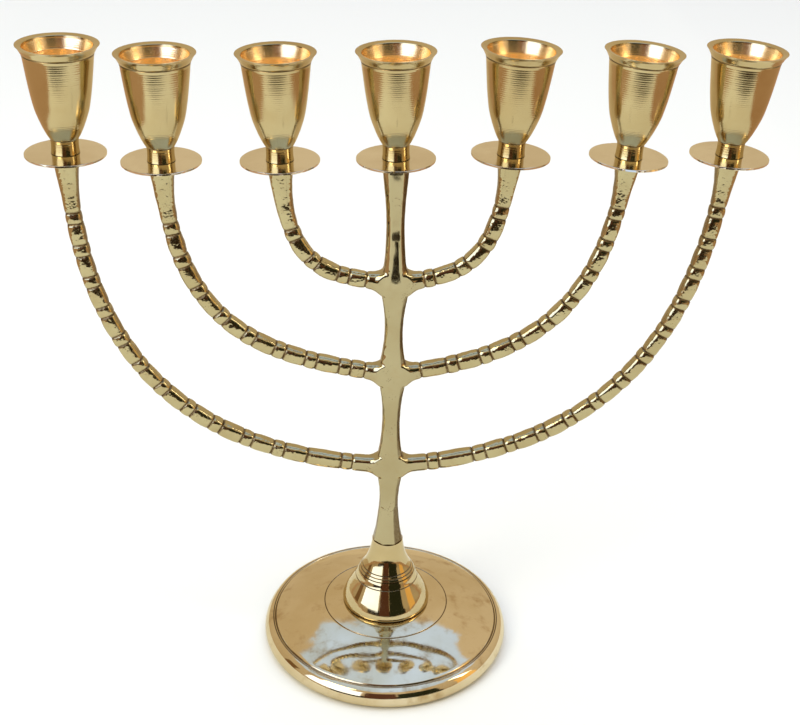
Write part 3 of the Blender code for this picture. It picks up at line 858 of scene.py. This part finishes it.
def makeArm(pair, matrix, name, post):
    path = layPath(pair, matrix)
    length = path.data.splines[0].calc_length() / mm
    cuts = stationsOf(pair, length, post)
    bar = drawAndSpin(name, barOutline(cuts, length), arm["sides"], about="X")
    root = drawAndSpin(name + "Root", rootOutline(cuts[0]), arm["sides"], about="X")
    # darker near the cuts: dirt and painted shade
    paintGrimeAndShade(bar, cuts, arm["grimeAndShadeReach"], lambda point: point.x)
    for piece in (bar, root):
        squareUp(piece)
        bendAlong(piece, path)
        pick(piece)
        piece.scale = (1, arm["flatten"], 1)
        bpy.ops.object.transform_apply(scale=True)
    throwAway(path)
    roughen(bar, name + "Cloud", arm["cloud"], arm["hammer"])
    # painted shade darkens the underside and both flanks of the arm
    shadeFlanks(bar, arm["flanks"])
    smoothOff(bar, 40)
    handOver(bar, "cast_brass", castBrass, "branch_casting")
    return root


def trimFlush(thing, depth):
    # grind front and back level with the stem's faces
    pick(thing)
    bpy.ops.object.mode_set(mode="EDIT")
    for side in (-1, 1):
        bpy.ops.mesh.select_all(action="SELECT")
        bpy.ops.mesh.bisect(plane_co=(0, side * depth * mm, 0), plane_no=(0, side, 0), use_fill=True,
                            clear_outer=True)
    bpy.ops.object.mode_set(mode="OBJECT")
    return thing


def makeCasting():
    pairs = ("outer", "middle", "inner", None, "inner", "middle", "outer")
    roots = []
    for number, (pair, matrix) in enumerate(zip(pairs, seatMatrices), 1):
        if pair:
            side = "Left" if number < 4 else "Right"
            roots.append(makeArm(pair, matrix, pair + "Arm" + side, arm["posts"][number - 1]))
    print("six arms bent")
    blank = makeStemBlank(stem)
    foot = makeFootBlank(stem)
    for root in roots:
        trimFlush(root, stem["groundDepth"])
    letGo()
    for piece in roots + [foot, blank]:
        piece.select_set(True)
    bpy.context.view_layer.objects.active = blank
    bpy.ops.object.join()
    blank.name = blank.data.name = "stem"
    pressOn(blank, "REMESH", mode="VOXEL", voxel_size=stem["voxel"] * mm)
    pressOn(blank, "SMOOTH", factor=0.5, iterations=stem["smoothing"])
    roughen(blank, "stemCloud", stem["cloud"], stem["hammer"])
    # painted shade darkens the stem's left and right sides
    shadeFlanks(blank, stem["flanks"])
    pick(blank)
    bpy.ops.object.shade_smooth()
    return handOver(blank, "cast_brass", shadedStemBrass, "branch_casting")


makeCasting()
print("casting finished")


pan = {"sides": 112, "radius": 17.4, "thick": 1.0, "hole": 2.8, "softEdge": 0.28, "dish": 0.12,
       "rings": 10, "edge": 0.1, "rimFlat": 0.15}


def makePan(facts):
    top = []
    for i in range(facts["rings"] + 1):
        share = i / facts["rings"]
        radius = facts["hole"] + (facts["radius"] - facts["edge"] - facts["hole"]) * share
        top.append((radius, -facts["dish"] * math.sin(math.pi * share)))
    bottom = [(radius, height - facts["thick"]) for radius, height in reversed(top)]
    rim = [(facts["radius"], -facts["rimFlat"]), (facts["radius"], facts["rimFlat"] - facts["thick"])]
    disc = drawAndSpin("dripPan", top + rim + bottom, facts["sides"], closed=True)
    softenEdges(disc, facts["softEdge"], segments=3)
    keepLathePlace(disc)
    return smoothOff(disc)


cup = {
    "sides": 112, "stud": 2.8, "studTop": 7.3, "foot": 0.3, "softEdge": 0.14,
    "neck": ((6.1, 0.1), (6.05, 0.5), (5.92, 1.8), (5.87, 3.6), (5.92, 5.2), (6.05, 6.3)),
    "bowl": ((5.85, 6.5), (6.3, 6.75), (7.7, 9.3), (9.5, 13.6), (11.3, 19.0), (12.4, 24.5),
             (13.25, 30.0), (14.0, 36.0), (14.75, 42.4)),
    "lip": ((14.9, 42.75), (14.65, 43.0), (14.95, 43.2), (15.45, 44.1), (16.15, 45.4), (16.95, 46.6),
            (17.3, 46.9)),
    "rim": ((17.25, 46.95), (14.75, 46.45), (14.6, 46.3)),
    "inside": ((14.45, 45.6), (13.2, 41.0), (11.9, 32.0), (10.6, 23.0), (9.0, 16.6), (7.0, 13.0),
               (0.0, 13.0)),
    "grime": (6.45, 42.95), "grimeAndShadeReach": 0.3, "neckTop": 10, "lipRadius": 14.3,
    "ringPitch": 0.9, "ringHeight": 0.11, "ringsFrom": 17.0, "boreTop": 46.3,
}


def makeCup(facts, name, ringHeight):
    inside = []
    for before, after in zip(facts["inside"], facts["inside"][1:]):
        steps = max(1, round(2 * (before[1] - after[1]) / facts["ringPitch"]))
        for i in range(steps):
            share = i / steps
            radius = before[0] + (after[0] - before[0]) * share
            height = before[1] + (after[1] - before[1]) * share
            tooth = ringHeight if i % 2 and height > facts["ringsFrom"] else 0
            inside.append((radius + tooth, height))
    inside.append(facts["inside"][-1])
    outline = [(0.0, facts["studTop"]), (facts["stud"], facts["studTop"]),
               (facts["stud"], facts["foot"])]
    outline += eased(facts["neck"], 4) + eased(facts["bowl"], 5)
    outline += [*facts["lip"], *facts["rim"], *inside]
    piece = drawAndSpin(name, outline, facts["sides"])
    softenEdges(piece, facts["softEdge"], angle=38)
    keepLathePlace(piece)

    def heightOutside(point):
        radius = math.hypot(point.x, point.y)
        outside = point.z < facts["neckTop"] * mm or radius > facts["lipRadius"] * mm
        return point.z if outside else 0

    def inBore(vertex):
        facesIn = vertex.normal.x * vertex.co.x + vertex.normal.y * vertex.co.y < 0
        return float(facesIn and cupFloor * mm < vertex.co.z < facts["boreTop"] * mm)

    # darker near the neck and the score line: dirt and painted shade
    paintGrimeAndShade(piece, facts["grime"], facts["grimeAndShadeReach"], heightOutside)
    # the bore mask: where the inside of the cup is painted paler, as painted light
    bore = piece.data.attributes.new("bore", "FLOAT", "POINT")
    bore.data.foreach_set("value", [inBore(vertex) for vertex in piece.data.vertices])
    return smoothOff(piece)


stud = {"sides": 20, "radius": 2.5, "low": -9.3, "high": 7.0, "pitch": 0.8, "thread": 0.32,
        "chamfer": 0.6}


def makeThreaded(name, facts):
    # a stud with chamfered ends and a thread cut into it
    low, high, radius, pitch = facts["low"], facts["high"], facts["radius"], facts["pitch"]
    root, tip = radius - facts["thread"], radius - facts["chamfer"]
    outline = [(0.0, high), (tip, high), (root, high - 0.4)]
    height = high - facts["chamfer"]
    while height > low + 1.0:
        outline += [(radius, height - 0.15 * pitch), (radius, height - 0.35 * pitch),
                    (root, height - 0.75 * pitch)]
        height -= pitch
    outline += [(root, low + 0.4), (tip, low), (0.0, low)]
    return smoothOff(drawAndSpin(name, outline, facts["sides"]))


def setLights():
    disc = makePan(pan)
    plainCup = makeCup(cup, "candleCup", 0.45 * cup["ringHeight"])
    ringedCup = makeCup(cup, "ringedCup", cup["ringHeight"])
    pin = makeThreaded("cupStud", stud)
    for number, matrix in enumerate(seatMatrices, 1):
        turned = matrix @ Matrix.Rotation(dice.uniform(0, math.tau), 4, "Z")
        onePan = settle(copyOf(disc, f"dripPan{number}"), turned)
        handOver(onePan, "turned_brass", panPolish, f"drip_pan_{number}")
        source = ringedCup if number in (1, 2) else plainCup
        oneCup = settle(copyOf(source, f"candleCup{number}"), turned)
        handOver(oneCup, "turned_brass", turnedBrass, f"candle_cup_{number}")
        oneStud = settle(copyOf(pin, f"cupStud{number}"), turned)
        handOver(oneStud, "plated_steel", platedSteel, f"cup_stud_{number}")
    throwAway(disc, plainCup, ringedCup, pin)


setLights()
print("pans, cups and studs set")


tie = {"sides": 24, "radius": 3.0, "low": 8.0, "high": 76.0, "pitch": 1.0, "thread": 0.4, "chamfer": 0.6}
washer = {"hole": 3.3, "radius": 8.0, "top": 14.7, "thick": 1.2, "softEdge": 0.2, "sides": 64}
nut = {"flats": 10.0, "top": 13.2, "high": 5.0, "hole": 3.3, "chamfer": 0.6}


def makeFasteners():
    rod = makeThreaded("tieStud", tie)
    handOver(rod, "plated_steel", platedSteel, "tie_stud")
    low = washer["top"] - washer["thick"]
    corners = [(washer["hole"], washer["top"]), (washer["radius"], washer["top"]),
               (washer["radius"], low), (washer["hole"], low)]
    ring = drawAndSpin("tieWasher", corners, washer["sides"], closed=True)
    softenEdges(ring, washer["softEdge"])
    smoothOff(ring)
    handOver(ring, "plated_steel", platedSteel, "tie_washer")

    corner = nut["flats"] / 2 / math.cos(math.pi / 6)
    letGo()
    bpy.ops.mesh.primitive_cylinder_add(vertices=6, radius=corner * mm, depth=nut["high"] * mm,
                                        location=(0, 0, (nut["top"] - nut["high"] / 2) * mm),
                                        rotation=(0, 0, math.pi / 6))
    hexNut = bpy.context.object
    bpy.ops.object.transform_apply(location=True, rotation=True)
    hexNut.name = hexNut.data.name = "tieNut"
    bottom = nut["top"] - nut["high"]
    edge = nut["chamfer"]
    dome = drawAndSpin("nutDome", [(0, nut["top"] + 0.1), (corner - edge, nut["top"] + 0.1),
                                   (corner + 0.3, nut["top"] - edge), (corner + 0.3, bottom + edge),
                                   (corner - edge, bottom - 0.1), (0, bottom - 0.1)], 48)
    drill = drawAndSpin("nutDrill", [(0, nut["top"] + 1), (nut["hole"], nut["top"] + 1),
                                     (nut["hole"], bottom - 1), (0, bottom - 1)], 32)
    pressOn(hexNut, "BOOLEAN", operation="INTERSECT", object=dome, solver="EXACT")
    pressOn(hexNut, "BOOLEAN", operation="DIFFERENCE", object=drill, solver="EXACT")
    throwAway(dome, drill)
    cleanUp(hexNut)
    smoothOff(hexNut)
    handOver(hexNut, "plated_steel", platedSteel, "tie_nut")


makeFasteners()
print("fasteners made")

letGo()
sizes = {"cad": [list(corner) for corner in cadBox], "visual": [list(corner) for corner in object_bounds()]}
for model, corners in sizes.items():
    print(model, "size in mm:", [[round(value / mm, 1) for value in corner] for corner in corners])
